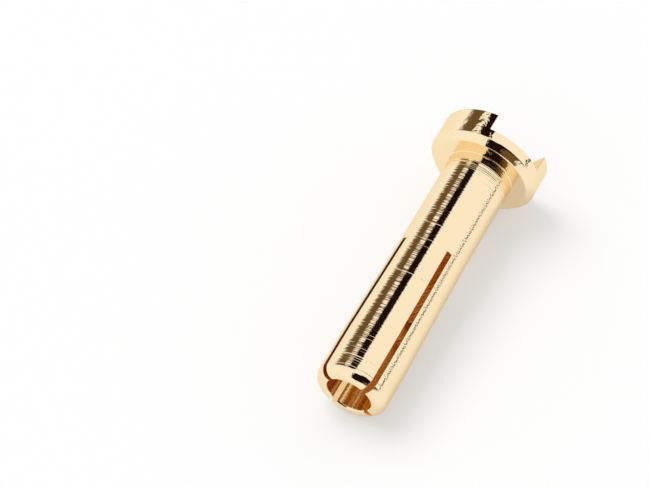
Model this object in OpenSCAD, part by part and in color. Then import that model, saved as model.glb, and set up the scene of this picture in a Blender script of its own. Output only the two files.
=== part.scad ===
// Male bullet plug for a battery lead: one brass turning, gold plated all over.
// The rim of the head lies on z = 0 and the spring fingers point along +Z.
// The wire leaves the solder cup sideways, through a notch that faces +X.

/* [Overall] */
// Length from the rim of the head to the tip of the fingers
total_l = 17.5; // [15:0.1:24]
// Diameter of the head
head_d = 6.15; // [5.2:0.05:8]
// Height of the head, from its rim to its underside
head_h = 1.95; // [1.6:0.05:3]

/* [Stem] */
// Diameter of the solid shank next to the head
shank_d = 3.7; // [3.6:0.05:4]
// Diameter over the fingers at their contact band
contact_d = 4; // [3.8:0.05:4.6]
// Length of the straight contact band, behind the rounded nose
contact_l = 2.4; // [1:0.1:4]
// Radius of the rounded nose
nose_r = 0.56; // [0.2:0.02:0.6]

/* [Spring fingers] */
// Width of the saw that cuts the slots
slot_w = 0.32; // [0.2:0.02:0.6]
// Depth of the slots from the tip
slot_l = 9.5; // [6:0.1:11]
// Diameter of the slitting saw, which leaves a curved slot root
saw_d = 30; // [20:1:60]
// Turn of the slots from the wire notch, in degrees
slot_turn = -3; // [-45:1:45]
// Thickness of the fingers at their contact band
finger_wall = 0.75; // [0.5:0.05:1]
// Depth of the relief bore's wall from the tip
relief_l = 5; // [3:0.1:8]
// Radius of the lip round the mouth of the relief bore
lip_r = 0.12; // [0.05:0.01:0.15]

/* [Solder cup] */
// Thickness of metal between the cup and the outside of the shank
cup_wall = 0.2; // [0.15:0.05:0.6]
// Depth of the cup's wall from the rim
cup_l = 2.1; // [1.5:0.05:3]
// Room that the wire notch leaves on each side of the cup
notch_clear = 0.07; // [0.02:0.01:0.2]
// Depth of the wire notch from the rim
notch_h = 1; // [0.6:0.05:1.4]
// Diameter of the end mill that cuts the notch
mill_d = 2.5; // [1:0.1:3]
// Point angle of the drills, in degrees
drill_angle = 118; // [90:1:140]

/* [Edges] */
// Width of the chamfer round the head's underside
chamfer = 0.35; // [0.1:0.05:0.5]
// Radius that blends the chamfer into the wall and the underside
blend_r = 0.16; // [0.05:0.01:0.2]
// Radius that breaks the sharp edges of the rim and the cup
break_r = 0.05; // [0.02:0.01:0.08]
// Radius of the corner where the shank meets the head
root_r = 0.06; // [0.02:0.01:0.2]

/* [Hidden] */
$fn = 96;
GOLD = [0.93, 0.72, 0.36];

over = 1;               // how far a cutter runs past the metal
arc_steps = 6;          // straight steps in each rounded edge
nose_steps = 12;        // straight steps in the rounded nose

head_r = head_d / 2;
shank_r = shank_d / 2;
contact_r = contact_d / 2;
relief_r = contact_r - finger_wall;
cup_r = shank_r - cup_wall;
notch_w = 2 * (cup_r + notch_clear);
lip = min(lip_r, finger_wall - nose_r);
slot_root_z = total_l - slot_l;
nose_z = total_l - nose_r;
band_z = nose_z - contact_l;
fillet_cut = blend_r * tan(22.5);   // from a 45 degree corner to where its radius starts

// Points along an arc round centre c, from angle a0 to a1
function arc(c, r, a0, a1, steps) =
    [for (i = [0:steps]) let (a = a0 + (a1 - a0) * i / steps) c + r * [cos(a), sin(a)]];

// Length of the cone that a drill leaves past a bore of radius r
function point_l(r) = r / tan(drill_angle / 2);

// Outer form of the turning, from the rim up to the nose
function outline() = concat(
    [[0, 0]],
    arc([head_r - break_r, break_r], break_r, -90, 0, arc_steps),
    arc([head_r - blend_r, head_h - chamfer - fillet_cut], blend_r, 0, 45, arc_steps),
    arc([head_r - chamfer - fillet_cut, head_h - blend_r], blend_r, 45, 90, arc_steps),
    arc([shank_r + root_r, head_h + root_r], root_r, 270, 180, arc_steps),
    [[shank_r, slot_root_z], [contact_r, band_z]],
    arc([contact_r - nose_r, nose_z], nose_r, 0, 90, nose_steps),
    [[0, total_l]]);

// A drilled hole from z = 0 up, with its rounded mouth and pointed end
module drilled_hole(r, l, mouth_r) {
    rotate_extrude()
        polygon(concat(
            [[0, -over], [r + mouth_r, -over]],
            arc([r + mouth_r, mouth_r], mouth_r, 270, 180, arc_steps),
            [[r, l], [0, l + point_l(r)]]));
}

// One pass of the slitting saw across the whole stem
module saw_cut() {
    translate([0, slot_w / 2, slot_root_z + saw_d / 2])
        rotate([90, 0, 0])
            cylinder(h = slot_w, d = saw_d);
}

// The path of the end mill that opens the cup towards +X
module wire_notch() {
    side = (notch_w - mill_d) / 2;
    translate([0, 0, -over])
        linear_extrude(notch_h + over)
            union() {
                for (y = [-side, side]) translate([0, y]) circle(d = mill_d);
                translate([-mill_d / 2, -side]) square([mill_d, 2 * side]);
                translate([0, -notch_w / 2]) square([head_r + over, notch_w]);
            }
}

module plug() {
    color(GOLD)
        difference() {
            rotate_extrude() polygon(outline());
            drilled_hole(cup_r, cup_l, break_r);
            translate([0, 0, total_l]) mirror([0, 0, 1])
                drilled_hole(relief_r, relief_l, lip);
            for (turn = [0, 90]) rotate(slot_turn + turn) saw_cut();
            wire_notch();
        }
}

plug();
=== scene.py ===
import math

import bpy
import numpy as np
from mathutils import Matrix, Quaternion, Vector


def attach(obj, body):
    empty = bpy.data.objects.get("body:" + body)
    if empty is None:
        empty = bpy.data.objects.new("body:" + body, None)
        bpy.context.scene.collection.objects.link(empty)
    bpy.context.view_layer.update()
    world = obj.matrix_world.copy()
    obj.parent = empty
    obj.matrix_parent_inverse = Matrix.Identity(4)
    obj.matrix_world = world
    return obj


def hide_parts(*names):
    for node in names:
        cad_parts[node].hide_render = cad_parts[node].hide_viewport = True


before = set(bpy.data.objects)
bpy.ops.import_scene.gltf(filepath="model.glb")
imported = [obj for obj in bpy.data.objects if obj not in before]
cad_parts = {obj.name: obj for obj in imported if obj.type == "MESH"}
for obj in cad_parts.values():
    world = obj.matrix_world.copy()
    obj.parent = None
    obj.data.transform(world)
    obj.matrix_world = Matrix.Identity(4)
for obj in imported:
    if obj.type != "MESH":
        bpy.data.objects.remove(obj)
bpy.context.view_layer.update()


# ------------------------------------------------------------------------- the plug
# Free-cutting brass turned from bar, sawn crosswise into four spring fingers, drilled
# for solder at the head and milled open to one side. It is tumbled, then plated with
# nickel and a thin coat of gold, which follows every tool mark below it.

def srgb(code):
    """Linear colour of an sRGB hex value."""
    parts = [int(code[i:i + 2], 16) / 255 for i in (1, 3, 5)]
    return [c / 12.92 if c <= 0.04045 else ((c + 0.055) / 1.055) ** 2.4 for c in parts] + [1]


def add(tree, kind, settings=None, **links):
    """A new node with its settings, its fixed inputs and its links."""
    node = tree.nodes.new(kind)
    for name, value in (settings or {}).items():
        setattr(node, name, value)
    for name, value in links.items():
        key = int(name[1:]) if name[0] == "_" else name.replace("_", " ")
        if isinstance(value, bpy.types.NodeSocket):
            tree.links.new(value, node.inputs[key])
        else:
            node.inputs[key].default_value = value
    return node


def gold(name, roughness, colour="#FBE6C0"):
    """Gold plate with the roughness that its tool leaves, and its empty bump chain."""
    made = bpy.data.materials.new(name)
    made.use_nodes = True
    tree = made.node_tree
    shader = tree.nodes["Principled BSDF"]
    shader.inputs["Base Color"].default_value = srgb(colour)
    shader.inputs["Metallic"].default_value = 1
    shader.inputs["Specular Tint"].default_value = srgb("#FBEFD8")
    shader.inputs["Roughness"].default_value = roughness
    place = add(tree, "ShaderNodeTexCoord").outputs["Object"]
    return made, tree, shader, place


# Turned with a pointed tool and left as cut: feed marks ring the stem, so a small
# bright thing shows in them as a ladder of short streaks. They are drawn about
# 0.12 mm apart, a little coarser than a real feed, so that they show.
turned, tree, shader, place = gold("gold_plate_turned", 0.07)
rings = add(tree, "ShaderNodeMapping", Vector=place, Scale=(120, 120, 8500))
marks = add(tree, "ShaderNodeTexNoise", Vector=rings.outputs[0], Scale=1, Detail=1, Roughness=0.6)
bump = add(tree, "ShaderNodeBump", Strength=1.0, Distance=0.00003, Height=marks.outputs["Fac"])
tree.links.new(bump.outputs[0], shader.inputs["Normal"])

# Cut with a broad tool and burnished: the nose, the head and the broken edges are
# nearly a mirror, with a slight orange peel 0.3 mm across from tumbling.
burnished, tree, shader, place = gold("gold_plate_burnished", 0.05)
peel = add(tree, "ShaderNodeTexNoise", Vector=place, Scale=3300, Detail=2, Roughness=0.5)
bump = add(tree, "ShaderNodeBump", Strength=1.0, Distance=0.000016, Height=peel.outputs["Fac"])
tree.links.new(bump.outputs[0], shader.inputs["Normal"])

# Milled, drilled, bored and sawn walls: cutter rings about 0.14 mm apart make the gold
# duller than outside, and a deeper base colour paints the shade in the slots, the bore, the cup and the
# notch.
inside_painted_shade, tree, shader, place = gold("gold_plate_inside", 0.14, "#F2D49C")
rings = add(tree, "ShaderNodeMapping", Vector=place, Scale=(500, 500, 7000))
marks = add(tree, "ShaderNodeTexNoise", Vector=rings.outputs[0], Scale=1, Detail=2, Roughness=0.5)
bump = add(tree, "ShaderNodeBump", Strength=1.0, Distance=0.00003, Height=marks.outputs["Fac"])
tree.links.new(bump.outputs[0], shader.inputs["Normal"])

# Sizes in millimetres: head, stem, nose, saw slots, relief bore, solder cup, wire
# notch, and the radii to which tumbling breaks the sharp edges
HEAD_R, HEAD_H, CHAMFER, BLEND = 3.075, 1.95, 0.35, 0.16
SHANK_R, CONTACT_R, CORNER_R = 1.85, 2.0, 0.06
TIP_Z, NOSE_R, CONTACT_L = 17.5, 0.56, 2.4
SLOT_W, SLOT_ROOT, SAW_R, SLOT_TURN = 0.32, 8.0, 15.0, -3.0
RELIEF_R, RELIEF_Z, LIP = 1.25, 12.5, 0.12
CUP_R, CUP_L, DRILL_POINT = 1.65, 2.1, 118
NOTCH_HALF, NOTCH_H, MILL_R = 1.72, 1.0, 1.25
SLOT_EDGE, HEAD_EDGE = 0.02, 0.03
BAND_Z = TIP_Z - NOSE_R - CONTACT_L
CONE = 1 / math.tan(math.radians(DRILL_POINT / 2))     # height of the cone for its radius
MM = 0.001

points, index, faces, normals, finishes = [], {}, [], [], []


def corner(p):
    """Number of the mesh point at p, which every face that meets there shares."""
    key = tuple(round(float(c), 6) + 0.0 for c in p)
    if key not in index:
        index[key] = len(points)
        points.append(key)
    return index[key]


def face(corners, finish):
    """One face from (point, normal) pairs, wound so that it faces along its normals."""
    ids, ps, ns = [], [], []
    for p, n in corners:
        i = corner(p)
        if i not in ids:
            ids.append(i)
            ps.append(np.array(p, float))
            ns.append(np.array(n, float))
    if len(ids) < 3:
        return
    area = sum(np.cross(ps[k] - ps[0], ps[(k + 1) % len(ps)] - ps[0]) for k in range(len(ps)))
    if area @ sum(ns) < 0:
        ids.reverse()
        ns.reverse()
    faces.append(ids)
    normals.extend(n / np.linalg.norm(n) for n in ns)
    finishes.append(finish)


def sheet(rows, finish):
    """A grid of faces over rows of (point, normal) pairs."""
    for a, b in zip(rows, rows[1:]):
        for j in range(len(a) - 1):
            face([a[j], a[j + 1], b[j + 1], b[j]], finish)


def plate(outline, normal, finish):
    """One flat face."""
    face([(p, normal) for p in outline], finish)


def turn(p, degrees):
    """A point or normal turned round the axis of the plug."""
    a = math.radians(degrees)
    c, s = math.cos(a), math.sin(a)
    return np.array([p[0] * c - p[1] * s, p[0] * s + p[1] * c, p[2]])


def around(r, z, nr, nz, angles):
    """(point, normal) pairs on a circle of the turning; angles in radians."""
    return [((r * math.cos(a), r * math.sin(a), z), (nr * math.cos(a), nr * math.sin(a), nz))
            for a in angles]


def steps(a, b, n):
    """n + 1 even values from a to b."""
    return [a + (b - a) * i / n for i in range(n + 1)]


def arc(cr, cz, r, a0, a1, n):
    """Stations (radius, height, normal) along a rounded edge of the profile."""
    out = []
    for a in steps(a0, a1, n):
        c, s = math.cos(math.radians(a)), math.sin(math.radians(a))
        out.append((cr + r * c, cz + r * s, c, s))
    return out


# Fingers: their skin runs from the mouth of the slot over the nose and the lip, and
# down the relief bore to where its cone meets the corner between two saw cuts.
taper = math.atan2(CONTACT_R - SHANK_R, BAND_Z - SLOT_ROOT)


def stem_r(z):
    """Radius of the stem: straight shank, then a slight flare to the contact band."""
    share = min(max((z - SLOT_ROOT) / (BAND_Z - SLOT_ROOT), 0), 1)
    return SHANK_R + (CONTACT_R - SHANK_R) * share


def floor_z(x):
    """Height of the slot's root, which is curved to the saw's radius."""
    return SLOT_ROOT + SAW_R - math.sqrt(SAW_R ** 2 - x * x)


def groove(z, half_w, lean):
    """Stations of a fine ring that the tool leaves round the contact band."""
    c, s = math.cos(math.radians(lean)), math.sin(math.radians(lean))
    middle = CONTACT_R - RING_DEPTH / 2
    return [(CONTACT_R, z - half_w, 1, 0), (middle, z - half_w / 2, c, s),
            (CONTACT_R - RING_DEPTH, z, 1, 0),
            (middle, z + half_w / 2, c, -s), (CONTACT_R, z + half_w, 1, 0)]


RING_DEPTH = 0.01
RING_Z, RING_HALF = 16.25, 0.05                # a ring where the tool paused
NOSE_RING_Z, NOSE_RING_HALF = 16.905, 0.03     # a ring where the nose begins
SKIN_START = 0.06                              # first station above the slot's mouth
EDGE_FADE = 1.5                                # the slots' edges get sharp down the bore
h = SLOT_W / 2
mouth_z = floor_z(SHANK_R)
band = [(CONTACT_R, z, 1, 0) for z in steps(BAND_Z, RING_Z - RING_HALF, 7)[:-1]]
band += groove(RING_Z, RING_HALF, 14)
band += [(CONTACT_R, z, 1, 0) for z in (16.5, 16.7)]
band += groove(NOSE_RING_Z, NOSE_RING_HALF, 20)
nose = arc(CONTACT_R - NOSE_R, TIP_Z - NOSE_R, NOSE_R, 0, 90, 16)
nose += arc(RELIEF_R + LIP, TIP_Z - LIP, LIP, 90, 180, 8)
run = [(stem_r(z), z, math.cos(taper), -math.sin(taper), SLOT_EDGE, "turned")
       for z in steps(mouth_z + SKIN_START, BAND_Z, 24)[:-1]]
run += [(*s, SLOT_EDGE, "turned") for s in band]
run += [(*s, SLOT_EDGE, "burnished") for s in nose]
run += [(RELIEF_R, z, -1, 0, SLOT_EDGE * min(1, (z - RELIEF_Z) / EDGE_FADE), "inside_painted_shade")
        for z in steps(TIP_Z - LIP, RELIEF_Z, 16)]
cone_lean = math.radians(90 - DRILL_POINT / 2)
cone_nr, cone_nz = -math.cos(cone_lean), math.sin(cone_lean)
run += [(r, RELIEF_Z - (RELIEF_R - r) * CONE, cone_nr, cone_nz, 0, "inside_painted_shade")
        for r in steps(RELIEF_R, h * math.sqrt(2), 8)]

LEVELS = [math.radians(a) for a in (0, 22.5, 45, 67.5, 90)]     # across a broken edge
FINGER_COLUMNS, MOUTH_COLUMNS = 30, 4


def swapped(row):
    """The same row on the finger's other edge, its mirror image in x = y."""
    return [((p[1], p[0], p[2]), (n[1], n[0], n[2])) for p, n in reversed(row)]


def finger_row(r, z, nr, nz, e):
    """One station across a finger: rounded slot edge, round skin, rounded slot edge."""
    rc, zc = r - e * nr, z - e * nz
    x = math.sqrt(max(rc * rc - (h + e) ** 2, (h + e) ** 2))
    a = math.atan2(h + e, x)
    ns = np.array([nr * math.cos(a), nr * math.sin(a), nz])
    row = []
    for t in LEVELS:
        n = ns * math.sin(t) + np.array([0, -1, 0]) * math.cos(t)
        row.append((np.array([x, h + e, zc]) + e * n, n))
    skin = around(r, z, nr, nz, steps(a, math.pi / 2 - a, FINGER_COLUMNS))
    return row, skin, swapped(row)


def edge_end(x, y, angle, e, t):
    """Reach and angle of a point on the rounded edge where a cut meets a round wall."""
    out = np.array([math.cos(angle), math.sin(angle), 0]) * math.sin(t)
    end = np.array([x, y, 0]) + e * (out - np.array([0, 1, 0]) * math.cos(t))
    return math.hypot(end[0], end[1]), math.atan2(end[1], end[0])


# the slot's root breaks out through the skin in a rounded lip
ring_z = mouth_z - SLOT_EDGE
ring_r = stem_r(ring_z)
root_y = h + SLOT_EDGE
root_x = math.sqrt((ring_r - SLOT_EDGE) ** 2 - root_y ** 2)
root_a = math.atan2(root_y, root_x)
mouth, first_row = [], []
for t in LEVELS:
    reach, a = edge_end(root_x, root_y, root_a, SLOT_EDGE, t)
    z = ring_z + SLOT_EDGE * math.cos(t)
    mouth.append([((reach * math.cos(b), reach * math.sin(b), z),
                   (math.cos(b) * math.sin(t), math.sin(b) * math.sin(t), math.cos(t)))
                  for b in steps(a, -a, MOUTH_COLUMNS)])
    n = (math.cos(root_a) * math.sin(t), math.sin(root_a) * math.sin(t) - math.cos(t), 0)
    first_row.append((mouth[-1][0][0], n))
skin_angles = steps(root_a, math.pi / 2 - root_a, FINGER_COLUMNS)
lip_angles = steps(math.pi / 2 - root_a, math.pi / 2 + root_a, MOUTH_COLUMNS)
rows = [(first_row, around(ring_r, ring_z, 1, 0, skin_angles), swapped(first_row), "turned")]
rows += [(*finger_row(*s[:5]), s[5]) for s in run]

# one arm of the cross that the two saw cuts leave as their floor
arm = []
for x in steps(h, 1, 10)[:-1]:
    share = (x - h) / (1 - h)
    row = []
    for j, (p, n) in enumerate(mouth[0]):
        y = h - 2 * h * j / MOUTH_COLUMNS
        px = h + (p[0] - h) * share
        row.append(((px, y + (p[1] - y) * share, floor_z(px)), (-px / SAW_R, 0, 1)))
    arm.append(row)
arm.append([(p, (-p[0] / SAW_R, 0, 1)) for p, n in mouth[0]])
wall = [row[0][0][0] for row in rows] + [(h, h, floor_z(h))] + [row[0][0] for row in arm[1:-1]]

stem_ring, crossing = [], []
for quarter in range(4):
    angle = SLOT_TURN + 90 * quarter

    def placed(rows):
        return [[(turn(p, angle), turn(n, angle)) for p, n in row] for row in rows]

    for a, b in zip(rows, rows[1:]):
        for part in range(3):
            sheet(placed([a[part], b[part]]), b[3])
    sheet(placed(arm), "inside_painted_shade")
    sheet(placed(mouth), "turned")
    # the two sawn walls of this finger
    plate([turn(p, angle) for p in wall], turn((0, -1, 0), angle), "inside_painted_shade")
    plate([turn((p[1], p[0], p[2]), angle) for p in wall], turn((-1, 0, 0), angle), "inside_painted_shade")
    stem_ring += [math.radians(angle) + b for b in skin_angles[:-1] + lip_angles[:-1]]
    crossing += [turn((h, -h + 2 * h * j / MOUTH_COLUMNS, floor_z(h)), angle)
                 for j in range(MOUTH_COLUMNS)]
plate(crossing, (0, 0, 1), "inside_painted_shade")
stem_ring.append(stem_ring[0] + 2 * math.pi)

# solid shank below the slots, and its small corner radius at the head
lower = [(ring_r, ring_z, 1, 0)]
lower += [(SHANK_R, z, 1, 0) for z in steps(SLOT_ROOT, HEAD_H + CORNER_R, 18)]
sheet([around(*s, stem_ring) for s in lower], "turned")
root = arc(SHANK_R + CORNER_R, HEAD_H + CORNER_R, -CORNER_R, 0, 90, 5)
sheet([around(*s, stem_ring) for s in root], "burnished")

# Head: its columns start and end at the wire notch
GAP_COLUMNS, HEAD_COLUMNS = 28, 132
beta = math.asin((NOTCH_HALF + HEAD_EDGE) / (HEAD_R - HEAD_EDGE))
wall_ring = steps(beta, 2 * math.pi - beta, HEAD_COLUMNS)
head_ring = steps(-beta, beta, GAP_COLUMNS) + wall_ring[1:]
cut = BLEND * math.tan(math.radians(22.5))     # from a 45 degree corner to its radius
shoulder = arc(HEAD_R - CHAMFER - cut, HEAD_H - BLEND, BLEND, 90, 45, 5)
shoulder += arc(HEAD_R - BLEND, HEAD_H - CHAMFER - cut, BLEND, 45, 0, 5)
shoulder.append((HEAD_R, NOTCH_H + HEAD_EDGE, 1, 0))
sheet([around(*s, head_ring) for s in shoulder], "burnished")

# the flat underside joins the stem's columns to the head's
inner = around(SHANK_R + CORNER_R, HEAD_H, 0, 1, stem_ring)
outer = around(HEAD_R - CHAMFER - cut, HEAD_H, 0, 1, head_ring)
inner_a = list(stem_ring)
while inner_a[0] > head_ring[0] + 1e-9:
    inner_a = [inner_a[-2] - 2 * math.pi] + inner_a[:-1]
    inner = [inner[-2]] + inner[:-1]
i = j = 0
while i < len(inner) - 1 or j < len(outer) - 1:
    if j == len(outer) - 1 or (i < len(inner) - 1 and inner_a[i + 1] < head_ring[j + 1]):
        face([inner[i], inner[i + 1], outer[j]], "burnished")
        i += 1
    else:
        face([inner[i], outer[j], outer[j + 1]], "burnished")
        j += 1

# rounded edge of the notch's floor in the outer wall
tooth_x = math.sqrt((HEAD_R - HEAD_EDGE) ** 2 - (NOTCH_HALF + HEAD_EDGE) ** 2)
edge = []
for t in LEVELS:
    reach, a = edge_end(tooth_x, NOTCH_HALF + HEAD_EDGE, beta, HEAD_EDGE, t)
    z = NOTCH_H + HEAD_EDGE - HEAD_EDGE * math.cos(t)
    edge.append([((reach * math.cos(b), reach * math.sin(b), z),
                  (math.cos(b) * math.sin(t), math.sin(b) * math.sin(t), -math.cos(t)))
                 for b in steps(-a, a, GAP_COLUMNS)])
sheet(edge, "burnished")

# C-shaped wall below the notch's floor: its plan as (x, y, normal x, normal y, top)
CUP_COLUMNS, BRIM_COLUMNS = 40, 72
wall_top = NOTCH_H + HEAD_EDGE
mill_y = NOTCH_HALF - MILL_R


def on_mill(rho):
    """Where the mill's arc lies at radius rho from the plug's axis."""
    y = (rho * rho + mill_y * mill_y - MILL_R * MILL_R) / (2 * mill_y)
    return -math.sqrt(rho * rho - y * y), y


def mirrored_y(part):
    """The same part of the plan on the other side of the notch."""
    return [(x, -y, nx, -ny, top) for x, y, nx, ny, top in reversed(part)]


tooth = []
for t, row in zip(LEVELS, edge):
    x, y, top = row[-1][0]
    tooth.append((x, y, math.cos(beta) * math.sin(t), math.sin(beta) * math.sin(t) - math.cos(t), top))
tooth.reverse()                      # from the outer wall round the tooth into the notch
side = [(x, NOTCH_HALF, 0, -1, NOTCH_H) for x in steps(tooth_x, 0, 12)]
x, y = on_mill(CUP_R + HEAD_EDGE)
for a in steps(90, math.degrees(math.atan2(y - mill_y, x)), 8)[1:]:
    c, s = math.cos(math.radians(a)), math.sin(math.radians(a))
    side.append((MILL_R * c, mill_y + MILL_R * s, -c, -s, NOTCH_H))
brim = []
for t in LEVELS:
    rho = CUP_R + HEAD_EDGE - HEAD_EDGE * math.sin(t)
    brim.append((*on_mill(rho), rho, NOTCH_H + HEAD_EDGE - HEAD_EDGE * math.cos(t)))
side += [(x, y, -x / MILL_R, (mill_y - y) / MILL_R, z) for x, y, rho, z in brim[1:]]
ridge_x, ridge_y = brim[-1][:2]      # where the mill's arc runs into the cup
gamma = math.atan2(ridge_y, ridge_x)
cup_angles = steps(gamma, 2 * math.pi - gamma, CUP_COLUMNS)
back = [(CUP_R * math.cos(a), CUP_R * math.sin(a), -math.cos(a), -math.sin(a), wall_top)
        for a in cup_angles]
skirt = [(HEAD_R * math.cos(a), HEAD_R * math.sin(a), math.cos(a), math.sin(a), wall_top)
         for a in reversed(wall_ring)]


def inset_of(x, y, nx, ny):
    """Direction out of the metal, halfway between the two walls at a ridge."""
    for sign in (1, -1):
        if abs(x - ridge_x) < 1e-7 and abs(y - sign * ridge_y) < 1e-7:
            a = math.atan2(sign * ridge_y, ridge_x)
            mill = np.array([-ridge_x, sign * mill_y - sign * ridge_y]) / MILL_R
            both = np.array([-math.cos(a), -math.sin(a)]) + mill
            both /= np.linalg.norm(both)
            return np.array([both[0], both[1], 0.0])
    return np.array([nx, ny, 0.0])


rim = []
for part, finish in ((skirt, "burnished"), (tooth, "burnished"), (side, "inside_painted_shade"),
                     (back, "inside_painted_shade"), (mirrored_y(side), "inside_painted_shade"),
                     (mirrored_y(tooth), "burnished")):
    columns = []
    for x, y, nx, ny, top in part:
        column = [((x, y, top), (nx, ny, 0))]
        for t in LEVELS:
            p = np.array([x, y, 0]) - inset_of(x, y, nx, ny) * HEAD_EDGE * (1 - math.cos(t))
            p = p + np.array([0, 0, HEAD_EDGE * (1 - math.sin(t))])
            column.append((p, (nx * math.cos(t), ny * math.cos(t), -math.sin(t))))
        columns.append(column)
    sheet([[c[0] for c in columns], [c[1] for c in columns]], finish)
    sheet([[c[k] for c in columns] for k in range(1, len(LEVELS) + 1)], "burnished")
    rim += [c[-1][0] for c in columns[:-1]]
plate(rim, (0, 0, -1), "burnished")

# notch floor, the cup's brim above it, the cup's wall and the drill's cone
brim_rows = []
for (x, y, rho, z), t in zip(brim, LEVELS):
    a = math.atan2(y, x)
    brim_rows.append([((rho * math.cos(b), rho * math.sin(b), z),
                       (-math.cos(b) * math.sin(t), -math.sin(b) * math.sin(t), -math.cos(t)))
                      for b in steps(-a, a, BRIM_COLUMNS)])
sheet(brim_rows, "burnished")
flat_side = [(x, y, top) for x, y, nx, ny, top in side if top == NOTCH_H][1:-1]
floor = [p for p, n in edge[0]] + flat_side + [p for p, n in reversed(brim_rows[0])]
floor += [(x, -y, z) for x, y, z in reversed(flat_side)]
plate(floor, (0, 0, -1), "inside_painted_shade")
cup_ring = steps(-gamma, gamma, BRIM_COLUMNS) + cup_angles[1:]
bore = [(CUP_R, z, -1, 0) for z in steps(wall_top, CUP_L, 4)]
sheet([around(*s, cup_ring) for s in bore], "inside_painted_shade")
cone = [(r, CUP_L + (CUP_R - r) * CONE, cone_nr, -cone_nz) for r in steps(CUP_R, 0, 10)]
sheet([around(*s, cup_ring) for s in cone], "inside_painted_shade")

mesh = bpy.data.meshes.new("plug_gold_plated")
mesh.from_pydata([[c * MM for c in p] for p in points], [], faces)
for made in (turned, burnished, inside_painted_shade):
    mesh.materials.append(made)
order = ("turned", "burnished", "inside_painted_shade")
mesh.polygons.foreach_set("material_index", [order.index(f) for f in finishes])
mesh.polygons.foreach_set("use_smooth", [True] * len(faces))
mesh.normals_split_custom_set([Vector(n) for n in normals])
plug = bpy.data.objects.new("bullet_plug", mesh)
bpy.context.scene.collection.objects.link(plug)
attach(plug, "root")
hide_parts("plug")

# ------------------------------------------------------------------------- the stage
# The white table of a product shot. The real plug lies on its side there, on the
# edge of its head and on its nose, so in this frame the table stands upright.

TABLE_HALF, TABLE_GAP = 0.6, 0.00002     # metres
TABLE_GLOW = 0.35                        # share of plain white, which lightens its shadow
CONTACT_SIDE = math.radians(-144)        # where round the plug the table touches it
tilt = math.atan2(HEAD_R - CONTACT_R, TIP_Z - NOSE_R)
up = -Vector((math.cos(tilt) * math.cos(CONTACT_SIDE), math.cos(tilt) * math.sin(CONTACT_SIDE),
              math.sin(tilt)))
along = (Vector((0, 0, 1)) - up * up.z).normalized()
across = up.cross(along)
touch = Vector((HEAD_R * math.cos(CONTACT_SIDE), HEAD_R * math.sin(CONTACT_SIDE), 0)) * MM
centre = touch - up * TABLE_GAP
table_mesh = bpy.data.meshes.new("table")
table_mesh.from_pydata([centre + along * a * TABLE_HALF + across * b * TABLE_HALF
                        for a, b in ((-1, -1), (1, -1), (1, 1), (-1, 1))], [], [(0, 1, 2, 3)])
table = bpy.data.objects.new("table", table_mesh)
bpy.context.scene.collection.objects.link(table)
if table_mesh.polygons[0].normal.dot(up) < 0:
    table_mesh.flip_normals()

# Uncoated white card, dull. It is clear from behind, so that it hides no other view.
paper = bpy.data.materials.new("white_card")
paper.use_nodes = True
tree = paper.node_tree
shader = tree.nodes["Principled BSDF"]
shader.inputs["Base Color"].default_value = srgb("#FFFFFF")
shader.inputs["Roughness"].default_value = 0.9
seen_by = add(tree, "ShaderNodeLightPath")
looked_at = add(tree, "ShaderNodeMath", {"operation": "MAXIMUM"}, _0=seen_by.outputs["Is Camera Ray"],
                _1=seen_by.outputs["Is Glossy Ray"]).outputs[0]
share = add(tree, "ShaderNodeMath", {"operation": "MULTIPLY"}, _0=looked_at,
            _1=TABLE_GLOW).outputs[0]
glow = add(tree, "ShaderNodeEmission", Color=(1, 1, 1, 1), Strength=1.0)
mix = add(tree, "ShaderNodeMixShader", _0=share, _1=shader.outputs[0], _2=glow.outputs[0])
back_side = add(tree, "ShaderNodeNewGeometry").outputs["Backfacing"]
clear = add(tree, "ShaderNodeBsdfTransparent")
mix = add(tree, "ShaderNodeMixShader", _0=back_side, _1=mix.outputs[0], _2=clear.outputs[0])
tree.links.new(mix.outputs[0], tree.nodes["Material Output"].inputs["Surface"])
table_mesh.materials.append(paper)

# World: a white studio. In the metal, two dark openings show between the white
# screens: the room behind the camera, and a gap at the far side with one lamp in it.
FILL = 0.65                              # even light on the table, beside the key light
world = bpy.data.worlds.new("studio")
bpy.context.scene.world = world
world.use_nodes = True
tree = world.node_tree
tree.nodes.clear()
toward = add(tree, "ShaderNodeTexCoord").outputs["Generated"]


TIMES, HIGHEST = {"operation": "MULTIPLY"}, {"operation": "MAXIMUM"}


def between(value, low, high, soft):
    """1 between two angles in degrees, with soft ends."""
    low, high, soft = (math.radians(a) for a in (low, high, soft))
    ease = {"interpolation_type": "SMOOTHSTEP"}
    rise = add(tree, "ShaderNodeMapRange", ease, Value=value, From_Min=low - soft,
               From_Max=low + soft)
    fall = add(tree, "ShaderNodeMapRange", ease, Value=value, From_Min=high - soft,
               From_Max=high + soft, To_Min=1.0, To_Max=0.0)
    return add(tree, "ShaderNodeMath", TIMES, _0=rise.outputs[0], _1=fall.outputs[0]).outputs[0]


# how far each direction points past the tip, to the side, upwards and at the lamp
lamp_at = (up * 0.757 - across * 0.510 - along * 0.41).normalized()
ahead, beside, over, lampward = (
    add(tree, "ShaderNodeVectorMath", {"operation": "DOT_PRODUCT"}, _0=toward,
        _1=tuple(axis)).outputs["Value"] for axis in (along, across, up, lamp_at))
height = add(tree, "ShaderNodeMath", {"operation": "ARCSINE"}, _0=over).outputs[0]
bearing = add(tree, "ShaderNodeMath", {"operation": "ARCTAN2"}, _0=beside, _1=ahead).outputs[0]
roll = add(tree, "ShaderNodeMath", {"operation": "ARCTAN2"}, _0=beside, _1=over).outputs[0]
off_tip = add(tree, "ShaderNodeMath", {"operation": "ARCCOSINE"}, _0=ahead).outputs[0]
off_lamp = add(tree, "ShaderNodeMath", {"operation": "ARCCOSINE"}, _0=lampward).outputs[0]

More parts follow.
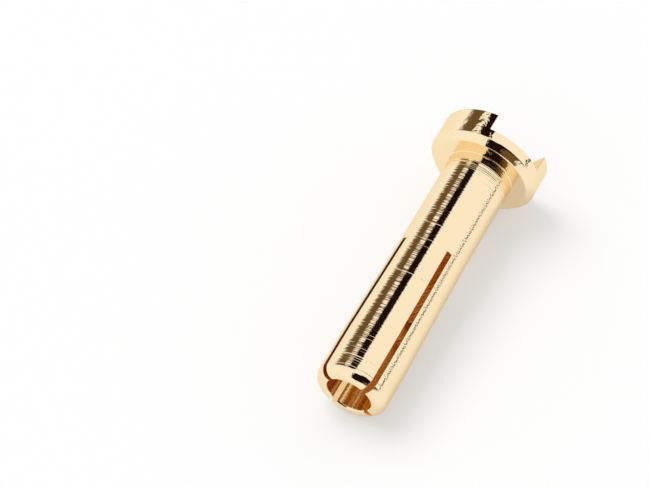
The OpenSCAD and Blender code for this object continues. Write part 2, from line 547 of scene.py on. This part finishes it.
# far gap: long openings that lie along the stem, black then dim, and a round lamp
behind = between(off_tip, 97, 200, 2)
black = add(tree, "ShaderNodeMath", TIMES, _0=between(roll, -30, -4.5, 0.7), _1=behind).outputs[0]
dim = add(tree, "ShaderNodeMath", {"operation": "MINIMUM"}, _0=between(roll, -69, -28, 6),
          _1=between(roll, -90, -28, 0.7)).outputs[0]
dim = add(tree, "ShaderNodeMath", TIMES, _0=dim, _1=behind).outputs[0]
unlit = add(tree, "ShaderNodeMath", {"operation": "SUBTRACT"}, _0=1.0,
            _1=between(off_lamp, -90, 8, 1.2)).outputs[0]
black = add(tree, "ShaderNodeMath", TIMES, _0=black, _1=unlit).outputs[0]
dim = add(tree, "ShaderNodeMath", TIMES, _0=dim, _1=unlit).outputs[0]
# the table's far edge, a thin dark line
horizon = add(tree, "ShaderNodeMath", TIMES, _0=between(bearing, 95, 150, 5),
              _1=between(height, -2, 3.4, 0.5)).outputs[0]
# room behind the camera: black high up and towards the tip, dim low beside it
low = add(tree, "ShaderNodeMath", TIMES, _0=between(height, 3, 26, 2),
          _1=between(bearing, -9, 19, 2)).outputs[0]
high = add(tree, "ShaderNodeMath", TIMES, _0=between(height, 23, 68, 2),
           _1=between(bearing, -9, 80, 3)).outputs[0]
room = add(tree, "ShaderNodeMath", TIMES, _0=between(height, 3, 68, 3),
           _1=between(bearing, 10, 82, 5)).outputs[0]
for opening in (horizon, low, high):
    black = add(tree, "ShaderNodeMath", HIGHEST, _0=black, _1=opening).outputs[0]
dim = add(tree, "ShaderNodeMath", HIGHEST, _0=dim, _1=room).outputs[0]

light = add(tree, "ShaderNodeLightPath")
screens = add(tree, "ShaderNodeBackground", Color=(1, 1, 1, 1), Strength=1.0)
dim_room = add(tree, "ShaderNodeBackground", Color=srgb("#6B5534"), Strength=1.0)
dark_room = add(tree, "ShaderNodeBackground", Color=srgb("#1C0C03"), Strength=1.0)
fill = add(tree, "ShaderNodeBackground", Color=(1, 1, 1, 1), Strength=FILL)
mix = add(tree, "ShaderNodeMixShader", _0=dim, _1=screens.outputs[0], _2=dim_room.outputs[0])
mix = add(tree, "ShaderNodeMixShader", _0=black, _1=mix.outputs[0], _2=dark_room.outputs[0])
mix = add(tree, "ShaderNodeMixShader", _0=light.outputs["Is Glossy Ray"], _1=fill.outputs[0],
          _2=mix.outputs[0])
mix = add(tree, "ShaderNodeMixShader", _0=light.outputs["Is Camera Ray"], _1=mix.outputs[0],
          _2=screens.outputs[0])
add(tree, "ShaderNodeOutputWorld", Surface=mix.outputs[0])

# The key light: a large screen to one side, which throws a soft shadow to the other
KEY_HEIGHT, KEY_BEARING, KEY_SHARE = math.radians(58), math.radians(-100), 0.35
key_data = bpy.data.lights.new("key_screen", "SUN")
key_data.angle = math.radians(40)
key_data.energy = KEY_SHARE * math.pi / math.sin(KEY_HEIGHT)
key = bpy.data.objects.new("key_screen", key_data)
bpy.context.scene.collection.objects.link(key)
level = along * math.cos(KEY_BEARING) + across * math.sin(KEY_BEARING)
key.rotation_mode = "QUATERNION"
to_key = level * math.cos(KEY_HEIGHT) + up * math.sin(KEY_HEIGHT)
key.rotation_quaternion = to_key.to_track_quat("Z", "Y")
key.visible_glossy = False

# Camera: looks at the plug from beyond its nose, turned so that the head is at the top right
camera_data = bpy.data.cameras.new("camera")
camera_data.lens = 176.8
camera_data.sensor_width = 36
camera = bpy.data.objects.new("camera", camera_data)
bpy.context.scene.collection.objects.link(camera)
camera.location = (0.13645, 0.05135, 0.09262)
aim = Vector((-0.001635, 0.004857, 0.010584)) - camera.location
camera.rotation_mode = "QUATERNION"
camera.rotation_quaternion = aim.to_track_quat("-Z", "Y") @ Quaternion((0, 0, 1), math.radians(-148.25))
camera_data.clip_start = 0.01
bpy.context.scene.camera = camera

bpy.context.scene.view_settings.view_transform = "Standard"
bpy.context.scene.cycles.glossy_bounces = 12   # light finds its way out of the slots and the bore
